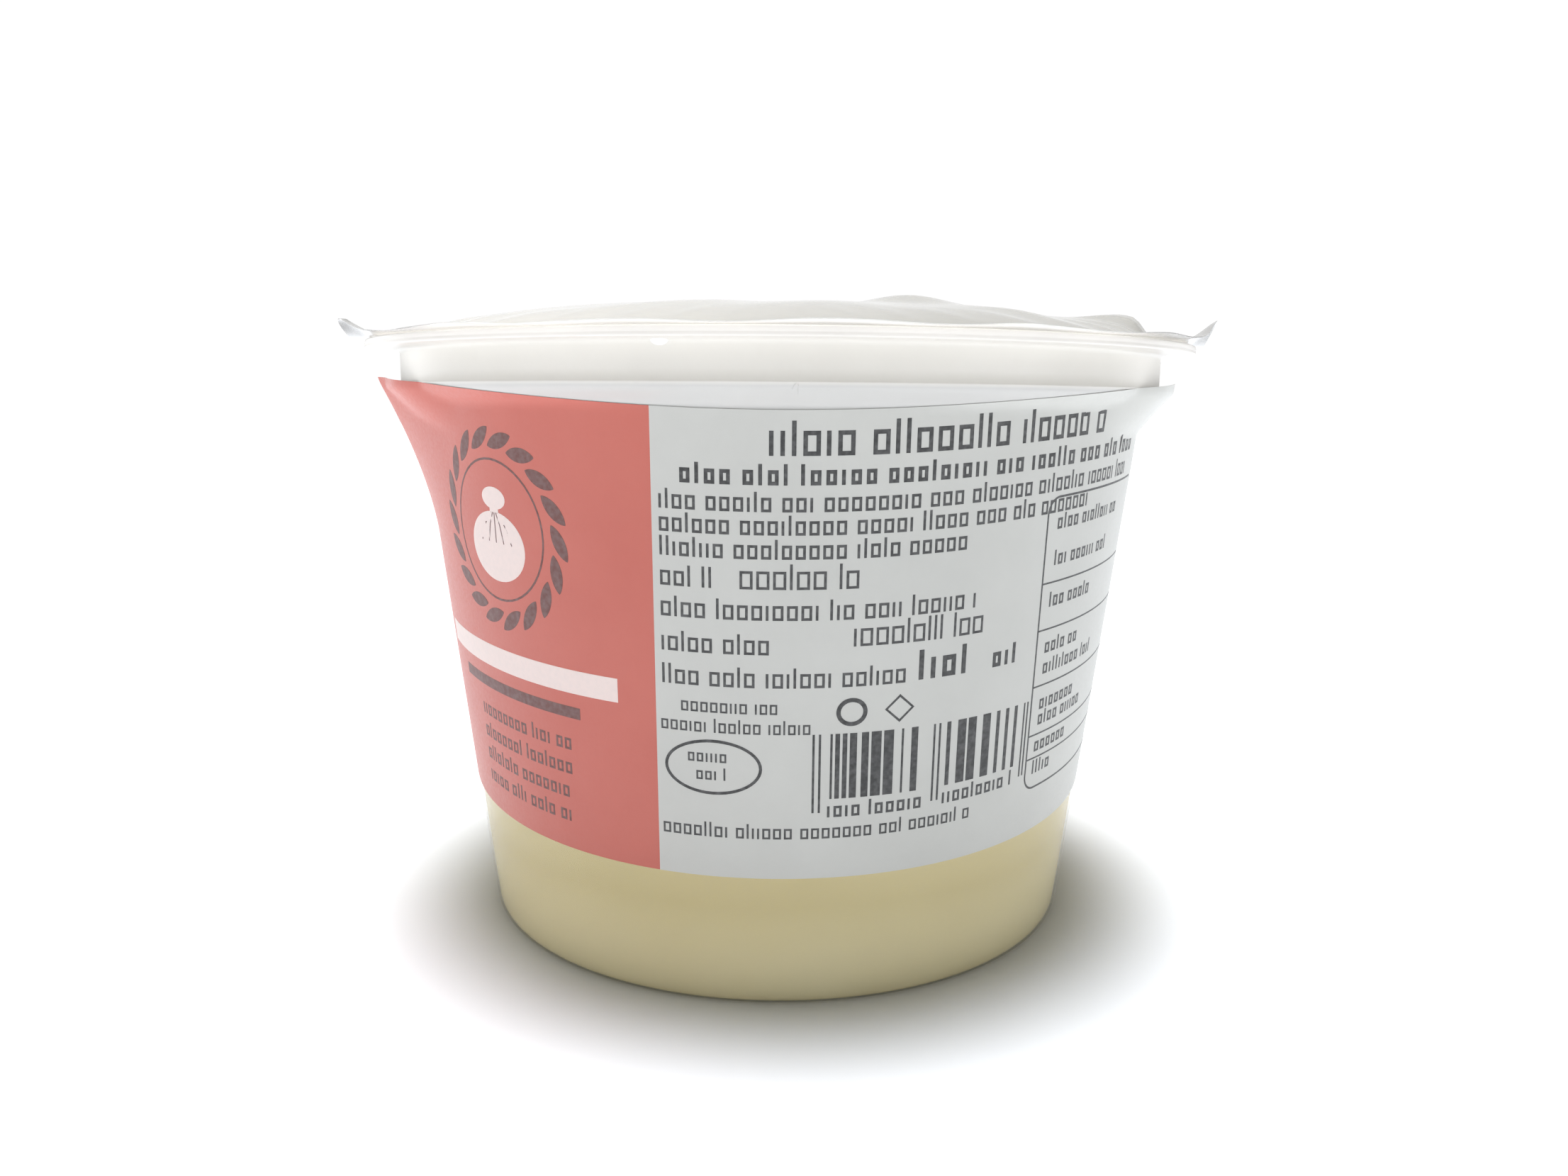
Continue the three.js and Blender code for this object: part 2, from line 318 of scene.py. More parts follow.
def label_paper(name, low, high):
    material, tree, out = nodes_of(name)
    place = place_of(tree)
    mottle = noise(tree, place, 90.0, 5.0, 0.6)
    fibre = noise(tree, place, 2600.0, 3.0, 0.6)
    colour = ramp(tree, mottle, [(0.32, low), (0.68, high)])
    shader = add(tree, "ShaderNodeBsdfPrincipled",
                 {"Base Color": colour, "Roughness": ranged(tree, fibre, 0.3, 0.7, 0.36, 0.48),
                  "IOR": 1.52, "Normal": bump(tree, fibre, 0.12, 0.00008)})
    tree.links.new(shader.outputs[0], out.inputs["Surface"])
    return material


def ink(name, colour):
    material, tree, out = nodes_of(name)
    grain = noise(tree, place_of(tree), 1800.0, 2.0)
    faded = tuple(mix(c, 0.5, 0.12) for c in colour[:3]) + (1.0,)
    shader = add(tree, "ShaderNodeBsdfPrincipled",
                 {"Base Color": ramp(tree, grain, [(0.35, colour), (0.75, faded)]),
                  "Roughness": 0.5, "IOR": 1.45})
    tree.links.new(shader.outputs[0], out.inputs["Surface"])
    return material


def cloudy_liquid():
    material, tree, out = nodes_of("cloudy_liquid")
    place = place_of(tree)
    cloud = noise(tree, place, 28.0, 3.0)
    # The tan is painted lighter towards the base: a painted glow that offsets the contact shadow
    # there.
    upper = ramp(tree, cloud, [(0.3, srgb(207, 190, 129)), (0.7, srgb(214, 198, 140))])
    lower = ramp(tree, cloud, [(0.3, srgb(251, 237, 184)), (0.7, srgb(254, 242, 192))])
    colour = shift(tree, height_of(tree, place), 1.6, 10.8, lower, upper)
    shader = add(tree, "ShaderNodeBsdfPrincipled",
                 {"Base Color": colour, "Roughness": 0.2, "IOR": 1.34,
                  "Normal": bump(tree, noise(tree, place, 400.0, 2.0), 0.05, 0.0003)})
    tree.links.new(shader.outputs[0], out.inputs["Surface"])
    return material


def smoked_curd():
    material, tree, out = nodes_of("smoked_curd")
    place = place_of(tree)
    patch = noise(tree, place, 55.0, 5.0, 0.6)
    colour = ramp(tree, patch, [(0.28, srgb(205, 165, 105)), (0.5, srgb(228, 198, 146)),
                                (0.75, srgb(240, 222, 184))])
    grain = noise(tree, place, 420.0, 4.0, 0.6)
    shader = add(tree, "ShaderNodeBsdfPrincipled",
                 {"Base Color": colour, "Roughness": 0.32, "IOR": 1.4,
                  "Subsurface Weight": 0.15, "Subsurface Radius": (0.004, 0.003, 0.0015),
                  "Subsurface Scale": 0.5, "Normal": bump(tree, grain, 0.25, 0.0004)})
    tree.links.new(shader.outputs[0], out.inputs["Surface"])
    return material


# The cup
def floor_profile():
    """The inside of the base from the wall inwards."""
    points = [(wall_r(GUTTER_Z + GUTTER_ROUND) - WALL, GUTTER_Z + GUTTER_ROUND)]
    points += arc(points[-1], (BASE_R - WALL, GUTTER_Z), (GUTTER_R[1], GUTTER_Z), 8)
    points += line(points[-1], (GUTTER_R[0], GUTTER_Z), 2)
    points += line(points[-1], (UNDERSIDE[0], FLOOR_Z), 4)
    return points


def cup_profile():
    shoulder_r = wall_r(SHOULDER_Z[0])
    points = [(0.0, UNDERSIDE[1])]
    points += line(points[-1], UNDERSIDE, 6)
    points += arc(points[-1], (UNDERSIDE[0] + 0.9, UNDERSIDE[1]), (FOOT_R[0] - 0.5, 0.18), 4)
    points += arc(points[-1], (FOOT_R[0] - 0.2, 0.0), (FOOT_R[0] + 0.2, 0.0), 2)
    points += line(points[-1], (FOOT_R[1], 0.0), 2)
    points += arc(points[-1], (BASE_R, 0.0), (wall_r(BASE_EDGE_Z), BASE_EDGE_Z), 8)
    points += line(points[-1], (shoulder_r, SHOULDER_Z[0]), 24)
    for i in range(1, 13):
        z = mix(*SHOULDER_Z, i / 12)
        points.append((outer_r(z), z))
    points += arc(points[-1], (NECK_R + 0.14, SHOULDER_Z[1] + 0.15), (NECK_R, SHOULDER_Z[1] + 0.3), 4)
    points += line(points[-1], (NECK_R, FLANGE_Z[0] - 0.5), 3)
    points += arc(points[-1], (NECK_R, FLANGE_Z[0]), (NECK_R + 0.5, FLANGE_Z[0]), 5)
    points += line(points[-1], (FLANGE_R - 0.2, FLANGE_Z[0]), 2)
    points += arc(points[-1], (FLANGE_R, FLANGE_Z[0]), (FLANGE_R, FLANGE_Z[0] + 0.2), 4)
    points += arc(points[-1], (FLANGE_R - 0.06, FLANGE_Z[0] + 0.42), (FLANGE_R, FLANGE_Z[0] + 0.5), 3)
    points += line(points[-1], (FLANGE_R, FLANGE_Z[1] - 0.2), 1)
    points += arc(points[-1], (FLANGE_R, FLANGE_Z[1]), (FLANGE_R - 0.2, FLANGE_Z[1]), 4)
    points += line(points[-1], (MOUTH_R + 0.5, FLANGE_Z[1]), 3)
    points += arc(points[-1], (MOUTH_R, FLANGE_Z[1]), (MOUTH_R, FLANGE_Z[1] - 0.5), 4)
    points += line(points[-1], (MOUTH_R, SHOULDER_Z[1] + WALL), 2)
    points += arc(points[-1], (MOUTH_R, SHOULDER_Z[1]), (shoulder_r - WALL, SHOULDER_Z[0]), 6)
    inside = floor_profile()
    points += line(points[-1], inside[0], 20) + inside[1:]
    points += line(points[-1], (0.0, FLOOR_Z), 6)
    return points


def make_cup(plastic):
    points, faces = lathe(cup_profile(), 192)
    piece = new_piece("cup", points, faces, "tub")
    piece.data.materials.append(plastic)
    return piece


def on_cup(degrees, z, proud):
    r = outer_r(z) + proud
    angle = math.radians(degrees)
    return r * math.sin(angle), -r * math.cos(angle), z


# Fine raised lines on the shoulder and under the flange: (degrees from the front, height)
MOULD_MARKS = [[(1.55, 60.85), (1.75, 61.2), (2.05, 61.4), (2.2, 61.25), (2.2, 60.8), (2.2, 60.45)],
               [(-30.45, 64.75), (-30.3, 64.9), (-30.1, 64.98)]]


MARK_PROUD = 0.05
INTO_CUP = -0.1


def mark_rule(path, proud):
    """Three rows along a mark, of which the middle one stands out when the mark is proud."""
    def rule(i, j):
        degrees, z = path[i]
        height = proud * (1 - 0.9 * abs(j - 1)) if proud > 0 else proud
        return on_cup(degrees + 0.05 * (j - 1), z - 0.035 * (j - 1), height)
    return rule


def make_drip():
    """A bead of sealing plastic under the flange: half a lens on the neck."""
    centre, half_wide, tall, deep = -13.4, 1.15, 0.62, 0.3
    columns, rows = 24, 10

    def place(side):
        def rule(i, j):
            u = 2 * i / columns - 1
            low = tall * math.sqrt(max(0.0, 1 - u * u)) + 0.02
            v = j / rows
            bulge = math.sqrt(max(0.0, (1 - u * u) * (1 - v * v)))
            proud = deep * bulge + 0.02 if side else INTO_CUP
            return on_cup(centre + half_wide * u, FLANGE_Z[0] + 0.05 - low * v, proud)
        return rule

    points, faces = sheet(columns, rows, place(True), place(False))
    faces = [tuple(reversed(f)) for f in faces]
    piece = new_piece("seal_drip", points, faces)
    piece.data.materials.append(seal_plastic())
    return piece


def make_marks(plastic):
    points, faces = [], []
    for path in MOULD_MARKS:
        base = len(points)
        more, more_faces = sheet(len(path) - 1, 2, mark_rule(path, MARK_PROUD),
                                 mark_rule(path, INTO_CUP))
        points += more
        faces += [tuple(base + p for p in reversed(f)) for f in more_faces]
    piece = new_piece("mould_marks", points, faces)
    piece.data.materials.append(plastic)
    return piece


# The contents
def ball_point(angle, gap):
    """A point of the ball's squarish profile, from -90 degrees at its foot to 90 at its top."""
    out = math.cos(angle) ** (2 / BALL_SQUARE)
    up = math.copysign(abs(math.sin(angle)) ** (2 / BALL_SQUARE), angle)
    return (BALL_R + gap) * out, BALL_MID_Z + (BALL_HALF + gap) * up


def ball_angle(z, gap):
    up = (z - BALL_MID_Z) / (BALL_HALF + gap)
    return math.copysign(math.asin(abs(up) ** (BALL_SQUARE / 2)), up)


def make_liquid():
    """The liquid reaches into the wall and into the ball, so that no gap shows."""
    into_wall = 0.55
    into_ball = -0.6
    floor = FLOOR_Z - into_wall
    side = WALL - into_wall
    lowest = 0.06
    edge_z = BASE_EDGE_Z + 0.2
    edge_r = wall_r(edge_z) - side
    low = ball_angle(FLOOR_Z + 0.8, into_ball)
    start = ball_point(low, into_ball)
    level = LIQUID_Z
    rim = wall_r(level) - side
    points = [(start[0], floor)]
    points += line(points[-1], (UNDERSIDE[0] + into_wall, floor), 4)
    points += line(points[-1], (FOOT_R[0], 0.9), 4)
    points += line(points[-1], (FOOT_R[0] + 1.0, lowest), 3)
    points += line(points[-1], (FOOT_R[1] - 0.1, lowest), 3)
    points += arc(points[-1], (BASE_R - side, lowest), (edge_r, edge_z), 8)
    points += line(points[-1], (rim, level), 24)
    points += [(rim, level + 0.7)]
    points += arc(points[-1], (rim - 0.9, level + 0.05), (rim - 2.6, level), 6)
    inner = ball_point(ball_angle(level, into_ball), into_ball)
    points += line(points[-1], (inner[0] + 2.4, level), 8)
    points += arc(points[-1], (inner[0] + 1.0, level + 0.05), (inner[0], level + 0.6), 5)
    high = ball_angle(level - 1, into_ball)
    points += [ball_point(mix(high, low, i / 14), into_ball) for i in range(15)]
    ring, faces = lathe(points, 160)
    piece = new_piece("liquid", ring, faces, "brine")
    piece.data.materials.append(cloudy_liquid())
    return piece


# The ball is drawn in to a tied neck, with a small knob above it: (radius, height)
BALL_END_Z = 48.6
TIE = (6.6, 54.0)
KNOB_SIDE = (8.6, 57.5)
KNOB_TOP_Z = 60.6


def make_cheese():
    top = ball_angle(BALL_END_Z, 0.0)
    profile = [(0.0, BALL_MID_Z - BALL_HALF)]
    profile += [ball_point(mix(-math.pi / 2, top, i / 60), 0.0) for i in range(1, 61)]
    profile += arc(profile[-1], (TIE[0] + 1.0, BALL_END_Z + 2.0), TIE, 14)
    profile += arc(profile[-1], (KNOB_SIDE[0] + 1.0, TIE[1] + 1.0), KNOB_SIDE, 8)
    profile += arc(profile[-1], (KNOB_SIDE[0] - 1.0, KNOB_TOP_Z), (0.0, KNOB_TOP_Z), 12)
    rng = random.Random(7)
    lumps = [(rng.uniform(0, TAU), rng.uniform(8, 46), rng.uniform(-0.55, 0.35),
              rng.uniform(4, 9)) for _ in range(40)]

    def bend(r, z, a):
        """Folds that gather towards the tie, soft lumps on the ball and a wavy knob."""
        drawn_in = smooth(z, 46.0, 54.0)
        fold = math.cos(9 * a) + 0.5 * math.sin(5 * a)
        fine = 0.35 * math.sin(23 * a + 2 * math.sin(3 * a))
        scale = 1 + 0.16 * drawn_in * fold + 0.06 * smooth(z, 43.0, 53.0) * fine
        swell = 0.0
        for la, lz, size, spread in lumps:
            d = (a - la + math.pi) % TAU - math.pi
            swell += size * math.exp(-((d * max(r, 6.0)) ** 2 + (z - lz) ** 2) / spread ** 2)
        if z > 56.5:
            z += 0.5 * math.cos(3 * a + 0.6) * (r / KNOB_SIDE[0])
        return max(0.0, (r + swell * smooth(r, 3.0, 14.0)) * scale), z

    points, faces = lathe(profile, 180, bend)
    piece = new_piece("cheese", points, faces, "burrata")
    piece.data.materials.append(smoked_curd())
    return piece


# The film lid: a dome inside the seal and a loose margin beyond the flange
FILM_R = 49.1
SEAL_R = 43.4
DOME_TALL = 4.75
DOME_ROUND = 0.62
FILM_THICK = 0.08
FILM_ABOVE_FLANGE = 0.07
# Each hump: across, from the middle to the back, height and width
HUMPS = [(1.5, -15.5, -1.1, 7.0), (13.5, -15.5, 1.05, 6.0), (23.0, -25.0, 0.4, 4.0),
         (38.0, -14.0, 1.85, 5.5)]
# Each tip of the margin: degrees from the front, reach, rise and width in degrees
TIPS = [(-68.0, 0.9, 1.9, 7.0), (70.0, 0.4, 2.5, 9.0)]


def film_place(share, angle, lift):
    """A point of the film at a share of the way to its edge."""
    degrees = math.degrees((angle + math.pi) % TAU - math.pi)
    tips = [(math.exp(-((degrees - t) / spread) ** 2), reach, rise)
            for t, reach, rise, spread in TIPS]
    # The free edge ripples, less so at the tips
    calm = 1 - 0.8 * max(weight for weight, _, _ in tips)
    rim = FILM_R + sum(weight * reach for weight, reach, _ in tips) + 0.22 * math.sin(angle * 8)
    rim += 0.12 * calm * math.sin(angle * 31 + 1.0)
    radius = rim * share
    x, y = radius * math.sin(angle), -radius * math.cos(angle)
    inside = clamp(1 - (radius / SEAL_R) ** 2)
    z = DOME_TALL * inside ** DOME_ROUND
    z += smooth(inside, 0.0, 0.12) * sum(rise * math.exp(-((x - hx) ** 2 + (y - hy) ** 2) / s ** 2)
                                         for hx, hy, rise, s in HUMPS)
    beyond = clamp((radius - FLANGE_R + 1.2) / 3)
    z += beyond * sum(weight * rise for weight, _, rise in tips)
    z += beyond * 0.15 * calm * (1 + math.sin(angle * 17))
    # Short wrinkles where the seal pulls, and long soft ones across the dome
    pull = math.exp(-((radius - 40.5) / 3.2) ** 2)
    z += pull * 0.09 * math.sin(angle * 47 + 3 * math.sin(angle * 5))
    wide = math.exp(-((radius - 30) / 12) ** 2)
    z += wide * 0.09 * math.sin(angle * 13 + 0.2 * radius)
    return x, y, FLANGE_Z[1] + FILM_ABOVE_FLANGE + max(0.0, z) + lift


def make_film():
    columns, rows = 320, 60

    def share(j):
        return 0.012 + 0.988 * (j / rows) ** 0.8

    def upper(i, j):
        return film_place(share(j), TAU * i / columns, FILM_THICK)

    def lower(i, j):
        return film_place(share(j), TAU * i / columns, 0.0)

    points, faces = sheet(columns, rows, upper, lower, wrapped=True)
    half = columns * (rows + 1)

    def round_pole(face):
        """Whether a face joins the two sides of the film at its innermost ring."""
        return min(face) < half <= max(face) and all(p % half < columns for p in face)

    faces = [f for f in faces if not round_pole(f)]
    for offset, flip in ((0, False), (half, True)):
        pole = len(points)
        points.append(film_place(0.0, 0.0, FILM_THICK if offset == 0 else 0.0))
        for i in range(columns):
            a, b = offset + i, offset + (i + 1) % columns
            faces.append((b, pole, a) if flip else (a, pole, b))
    faces = [tuple(reversed(f)) for f in faces]
    piece = new_piece("lid_film", points, faces, "film")
    piece.data.materials.append(clear_film())
    return piece


# The label, in millimetres across from the front line and up from its low edge
PAPER_THICK = 0.06
PRINT_THICK = 0.012
PAPER_GAP = 0.03
# Both top ends bridge the shoulder between these degrees, and the left one curls off the wall
BRIDGE_DEGREES = (48, 63)
BRIDGE_OUT = 3.1
BRIDGE_Z = (56.5, 61.0)
CURL_DEGREES = (54.0, 72.5)
CURL_OUT = 3.9
CURL_Z = (45.0, 62.0)


def label_lift(degrees, z):
    """How far the label stands off the line of the wall."""
    side = smooth(abs(degrees), *BRIDGE_DEGREES)
    bridge = BRIDGE_OUT * side * ramp_up(z, *BRIDGE_Z) ** 1.2
    end = ramp_up(-degrees, *CURL_DEGREES) ** 1.6
    curl = CURL_OUT * end * ramp_up(z, *CURL_Z) ** 1.7
    over = outer_r(z) - wall_r(z)
    return max(bridge, curl, over)


def label_point(across, up, proud):
    """The label hangs in a slight arc, and its top edge rises towards both ends."""
    share = up / LABEL_TALL
    angle = across / wall_r(mix(LABEL_LOW_Z, LABEL_HIGH_Z, share))
    degrees = math.degrees(angle)
    low = LABEL_LOW_Z + 4.2e-4 * degrees ** 2
    high = LABEL_HIGH_Z + 3.7 * (1 - math.exp(-(degrees / 55) ** 2))
    z = mix(low, high, share)
    r = wall_r(z) + PAPER_GAP + label_lift(degrees, z) + proud
    return r * math.sin(angle), -r * math.cos(angle), z


def make_label(red, white):
    columns, rows = 210, 90
    red_columns = round(columns * (RED_EDGE + LABEL_LEFT) / (LABEL_RIGHT + LABEL_LEFT))

    def across(i):
        if i <= red_columns:
            return mix(-LABEL_LEFT, RED_EDGE, i / red_columns)
        return mix(RED_EDGE, LABEL_RIGHT, (i - red_columns) / (columns - red_columns))

    def upper(i, j):
        return label_point(across(i), LABEL_TALL * j / rows, PAPER_THICK)

    def lower(i, j):
        return label_point(across(i), LABEL_TALL * j / rows, 0.0)

    points, faces = sheet(columns, rows, upper, lower)
    piece = new_piece("wrap_label", points, faces, "label")
    piece.data.materials.append(white)
    piece.data.materials.append(red)
    cells = columns * rows
    # The sheet's first faces alternate between its outer and its inner side
    for n, face in enumerate(piece.data.polygons):
        on_top = n < 2 * cells and n % 2 == 0
        if on_top and (n // 2) % columns < red_columns:
            face.material_index = 1
    return piece


class Print:
    """Flat shapes in label millimetres, laid on the label as thin pads of ink."""

    def __init__(self):
        self.points = []
        self.faces = []

    def pad(self, rows, wrapped=False):
        """rows is a list of lists of (across, up) points of one length, from low to high."""
        def face(proud):
            return lambda i, j: label_point(*rows[j][i % len(rows[j])], proud)

        columns = len(rows[0]) if wrapped else len(rows[0]) - 1
        points, faces = sheet(columns, len(rows) - 1, face(PAPER_THICK + PRINT_THICK),
                              face(PAPER_THICK - 0.01), wrapped)
        base = len(self.points)
        self.points += points
        self.faces += [tuple(base + p for p in f) for f in faces]

    def bar(self, left, low, right, high, step=1.5):
        """A filled bar, split across so that it follows the wall."""
        across = max(1, math.ceil((right - left) / step))
        up = max(1, math.ceil((high - low) / 4))
        self.pad([[(mix(left, right, i / across), mix(low, high, j / up))
                   for i in range(across + 1)] for j in range(up + 1)])

    def stroke(self, line_points, width):
        """A line of even width through points."""
        left, right = [], []
        for n, (x, y) in enumerate(line_points):
            before = line_points[max(0, n - 1)]
            after = line_points[min(len(line_points) - 1, n + 1)]
            dx, dy = after[0] - before[0], after[1] - before[1]
            size = math.hypot(dx, dy) or 1.0
            nx, ny = -dy / size * width / 2, dx / size * width / 2
            left.append((x + nx, y + ny))
            right.append((x - nx, y - ny))
        self.pad([right, left])

    def ring(self, x, y, rx, ry, width, steps=48):
        def loop(inset):
            return [(x + (rx - inset) * math.cos(TAU * i / steps),
                     y + (ry - inset) * math.sin(TAU * i / steps)) for i in range(steps)]

        self.pad([loop(0.0), loop(width)], True)

    def frame(self, left, low, right, high, width):
        def loop(inset):
            return [(left + inset, low + inset), (right - inset, low + inset),
                    (right - inset, high - inset), (left + inset, high - inset)]

        self.pad([loop(0.0), loop(width)], True)

    def disc(self, x, y, rx, ry, tilt=0.0, point=0.0, steps=24):
        """A filled oval; point from 0 to 1 sharpens its two ends, as in a leaf."""
        cos, sin = math.cos(tilt), math.sin(tilt)
        rows = [[], [], []]
        for i in range(steps + 1):
            t = -math.pi / 2 + math.pi * i / steps
            along = rx * math.sin(t)
            half = ry * math.cos(t) ** (1 + point)
            for row, side in zip(rows, (-1, 0, 1)):
                a, b = along, side * max(half, 0.004)
                row.append((x + a * cos - b * sin, y + a * sin + b * cos))
        self.pad(rows)

    def words(self, left, right, low, tall, rng, pen=0.25, most=9):
        """A row of small open boxes and ticks, in groups."""
        wide = tall * 0.7
        x = left
        while x < right - wide:
            for _ in range(rng.randint(3, most)):
                if x > right - wide:
                    break
                kind = rng.random()
                if kind < 0.62:
                    self.frame(x, low, x + wide, low + tall, pen)
                    x += wide + pen * 1.3
                else:
                    self.bar(x, low, x + pen, low + tall * (1.4 if kind < 0.82 else 1.0))
                    x += pen * 2.5
            x += tall * 0.5

    def piece(self, name, material):
        piece = new_piece(name, self.points, self.faces, smooth_faces=False)
        piece.data.materials.append(material)
        return piece


def white_panel():
    rng = random.Random(11)
    body, bold = Print(), Print()
    bold.words(-0.8, 37.5, 41.0, 2.2, rng, 0.4)
    bold.words(-8.8, 46.5, 38.4, 1.35, rng, 0.34)
    for low, right in ((36.0, 46.0), (33.9, 36.0), (31.7, 19.0)):
        body.words(-10.8, right, low, 1.3, rng)
    body.words(-10.8, -5.2, 28.9, 1.4, rng)
    body.words(-3.4, 7.5, 28.9, 1.7, rng)
    body.words(-10.8, 20.2, 26.0, 1.4, rng)
    body.words(-10.8, -0.5, 22.7, 1.4, rng)
    body.words(7.1, 20.5, 23.4, 1.7, rng)
    body.words(-10.8, 12.6, 19.5, 1.4, rng)
    bold.words(13.6, 20.6, 19.6, 2.1, rng, 0.5)
    bold.words(22.0, 26.6, 19.6, 1.5, rng, 0.4)
    body.words(-9.0, 0.4, 16.9, 1.0, rng, 0.18)
    body.words(-11.0, 3.4, 14.9, 1.0, rng, 0.18)
    body.words(-11.0, 20.5, 4.2, 1.1, rng, 0.2)
    bold.ring(-6.0, 11.4, 4.7, 2.8, 0.3)
    body.words(-8.4, -3.6, 11.9, 0.9, rng, 0.18)
    body.words(-7.6, -4.2, 10.1, 0.9, rng, 0.18)
    bold.ring(7.1, 17.0, 1.5, 1.4, 0.42)
    bold.ring(11.8, 17.0, 1.5, 1.4, 0.3, 4)
    for guard in (3.4, 4.0, 15.5, 16.1, 27.0, 27.5):
        bold.bar(guard, 6.9, guard + 0.22, 14.9)
    for left, right in ((5.1, 14.9), (17.0, 26.4)):
        x = left
        while x < right - 0.3:
            wide = min(rng.choice((0.22, 0.45, 0.7, 1.0)), right - x)
            bold.bar(x, 8.3, x + wide, 14.9)
            x += wide + rng.choice((0.25, 0.45, 0.8))
    body.words(4.9, 15.2, 6.4, 1.15, rng)
    body.words(16.8, 26.8, 6.4, 1.15, rng)
    table(body)
    for low, left, right in ((32.2, 29.8, 44.0), (28.6, 29.8, 42.0), (24.4, 29.6, 38.0),
                             (19.6, 29.6, 36.0), (17.4, 29.6, 41.0), (13.6, 29.6, 37.0),
                             (11.9, 29.6, 40.0), (9.0, 29.4, 36.0), (6.5, 29.4, 33.0)):
        body.words(left, right, low, 1.1, rng)
    return body, bold


def table(pen):
    left, low, high, corner = 28.2, 4.9, 35.4, 1.6
    right = 49.0
    border = [(right, high)]
    border += [(mix(right, left + corner, i / 12), high) for i in range(1, 12)]
    border += [(left + corner - corner * math.sin(t * math.pi / 16),
                high - corner + corner * math.cos(t * math.pi / 16)) for t in range(9)]
    border += [(left, mix(high - corner, low + corner, i / 12)) for i in range(1, 12)]
    border += [(left + corner - corner * math.cos(t * math.pi / 16),
                low + corner - corner * math.sin(t * math.pi / 16)) for t in range(9)]
    border += [(mix(left + corner, right, i / 12), low) for i in range(1, 13)]
    pen.stroke(border, 0.22)
    for up in (26.9, 22.1, 16.2, 10.9, 8.3):
        pen.bar(left, up - 0.09, right, up + 0.09)


def red_panel():
    rng = random.Random(23)
    dark, pale = Print(), Print()
    x, y, r = -30.5, 31.5, 9.0
    for i in range(18):
        a = TAU * i / 18
        dark.disc(x + r * math.cos(a), y + r * math.sin(a), 1.9, 0.72, a + math.pi / 2 + 0.5, 0.6)
    dark.ring(x, y, r - 1.9, r - 1.9, 0.22)
    pale.disc(x, y - 1.6, 4.4, 3.5)
    pale.disc(x, y + 3.2, 1.9, 1.1)
    pale.bar(x - 0.7, y + 1.2, x + 0.7, y + 2.9)
    for k in (-2, -1, 0, 1, 2):
        dark.stroke([(x + k * 0.25, y + 1.8), (x + k * 0.8, y + 0.6), (x + k * 1.25, y - 1.2)], 0.16)
    pale.bar(-46.0, 16.8, -15.5, 19.2)
    dark.bar(-41.0, 14.2, -20.0, 15.4)
    for low in (10.8, 8.2, 5.6, 3.0):
        dark.words(-37.0, -21.0, low, 1.2, rng)
    return dark, pale


# Floor, light and camera
def make_floor():
    mesh = bpy.data.meshes.new("floor")
    half = 3.0
    mesh.from_pydata([(-half, -half, 0), (half, -half, 0), (half, half, 0), (-half, half, 0)],
                     [], [(0, 1, 2, 3)])
    floor = bpy.data.objects.new("floor", mesh)
    bpy.context.scene.collection.objects.link(floor)
    material, tree, out = nodes_of("floor_white")
    shader = add(tree, "ShaderNodeBsdfPrincipled",
                 {"Base Color": (0.9, 0.925, 0.965, 1.0), "Roughness": 0.9,
                  "Specular IOR Level": 0.1})
    tree.links.new(shader.outputs[0], out.inputs["Surface"])
    floor.data.materials.append(material)


def area_light(name, place, target, size, power):
    lamp = bpy.data.lights.new(name, "AREA")
    lamp.shape = "RECTANGLE"
    lamp.size, lamp.size_y = size
    lamp.energy = power
    holder = bpy.data.objects.new(name, lamp)
    bpy.context.scene.collection.objects.link(holder)
    holder.location = place
    holder.rotation_euler = (Vector(target) - Vector(place)).to_track_quat("-Z", "Y").to_euler()


# The strength of the white room as seen by the camera, in gloss and as soft fill
BACKDROP = 1.02
GLOSS_LIGHT = 0.85
SOFT_FILL = 0.13
# A broad overhead light keeps the floor white, and low lamps graze the sides
OVERHEAD = 5.3
OVERHEAD_WIDE = math.radians(25)
OVERHEAD_LEAN = (math.radians(-0.5), math.radians(-1), 0)
LAMP_TARGET = (0, 0, 0.035)
LAMPS = [("left", (-0.95, -0.5, 0.11), (0.5, 0.12), 0.85),
         ("right", (0.95, -0.5, 0.11), (0.5, 0.12), 0.65),
         ("back_left", (-0.7, 0.5, 0.13), (0.4, 0.15), 0.4),
         ("back_right", (0.7, 0.5, 0.13), (0.4, 0.15), 0.2)]


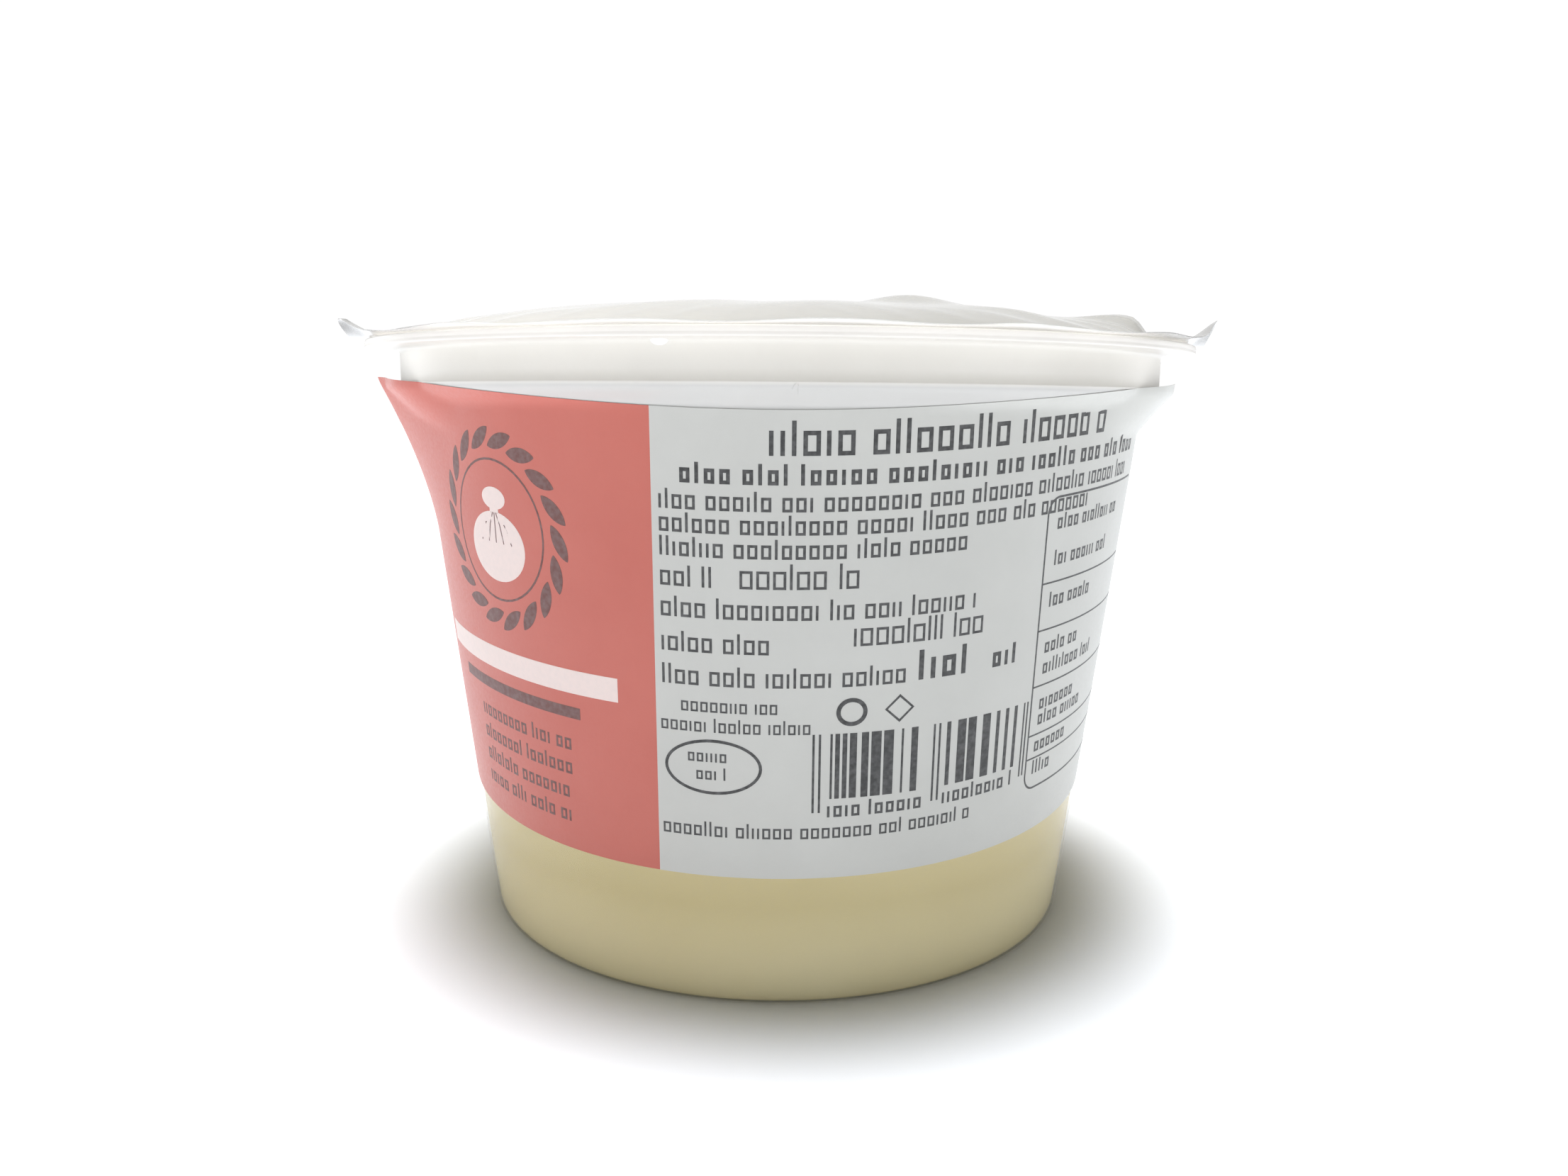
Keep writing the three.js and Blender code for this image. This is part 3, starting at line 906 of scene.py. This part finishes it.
def make_light():
    world = bpy.data.worlds.new("studio")
    world.use_nodes = True
    tree = world.node_tree
    tree.nodes.clear()
    path = add(tree, "ShaderNodeLightPath")
    reflected = ranged(tree, path.outputs["Is Diffuse Ray"], 0.0, 1.0, GLOSS_LIGHT, SOFT_FILL)
    strength = add(tree, "ShaderNodeMix", {"Factor": path.outputs["Is Camera Ray"],
                                           "A": reflected, "B": BACKDROP}).outputs["Result"]
    sky = add(tree, "ShaderNodeBackground", {"Color": grey(1.0), "Strength": strength})
    out = add(tree, "ShaderNodeOutputWorld")
    tree.links.new(sky.outputs[0], out.inputs["Surface"])
    bpy.context.scene.world = world
    lamp = bpy.data.lights.new("overhead", "SUN")
    lamp.energy = OVERHEAD
    lamp.angle = OVERHEAD_WIDE
    holder = bpy.data.objects.new("overhead", lamp)
    holder.rotation_euler = OVERHEAD_LEAN
    bpy.context.scene.collection.objects.link(holder)
    for name, place, size, power in LAMPS:
        area_light(name, place, LAMP_TARGET, size, power)


# The camera, in pixels of the photo, radians and millimetres
IMAGE_WIDE = 2212
FOCAL_PX = 1661.0
SENSOR_WIDE = 36.0
PITCH = 0.1559
ROLL = 0.0083
CAMERA_PLACE = (0.6175, -145.103, 59.69)


def make_camera():
    camera = bpy.data.cameras.new("camera")
    camera.sensor_fit = "HORIZONTAL"
    camera.sensor_width = SENSOR_WIDE
    camera.lens = FOCAL_PX / IMAGE_WIDE * SENSOR_WIDE
    camera.clip_start = 0.005
    camera.clip_end = 20.0
    holder = bpy.data.objects.new("camera", camera)
    bpy.context.scene.collection.objects.link(holder)
    turn = Matrix.Rotation(math.pi / 2 - PITCH, 4, "X") @ Matrix.Rotation(ROLL, 4, "Z")
    holder.matrix_world = Matrix.Translation([c * MM for c in CAMERA_PLACE]) @ turn
    bpy.context.scene.camera = holder


make_camera()
make_floor()
make_light()
cup_plastic = milky_plastic()
make_cup(cup_plastic)
make_marks(cup_plastic)
make_drip()
make_liquid()
make_cheese()
make_film()
make_label(label_paper("red_paper", srgb(189, 95, 81), srgb(193, 100, 86)),
           label_paper("white_paper", srgb(191, 191, 186), srgb(196, 196, 191)))
dark_ink = ink("dark_ink", srgb(50, 50, 50))
panel_body, panel_bold = white_panel()
panel_body.piece("print_body", ink("body_ink", srgb(58, 58, 58)))
panel_bold.piece("print_bold", dark_ink)
emblem_dark, emblem_pale = red_panel()
emblem_dark.piece("emblem_dark", ink("emblem_ink", srgb(105, 66, 62)))
emblem_pale.piece("emblem_pale", ink("pale_ink", srgb(232, 214, 208)))
bpy.context.scene.view_settings.view_transform = "Standard"
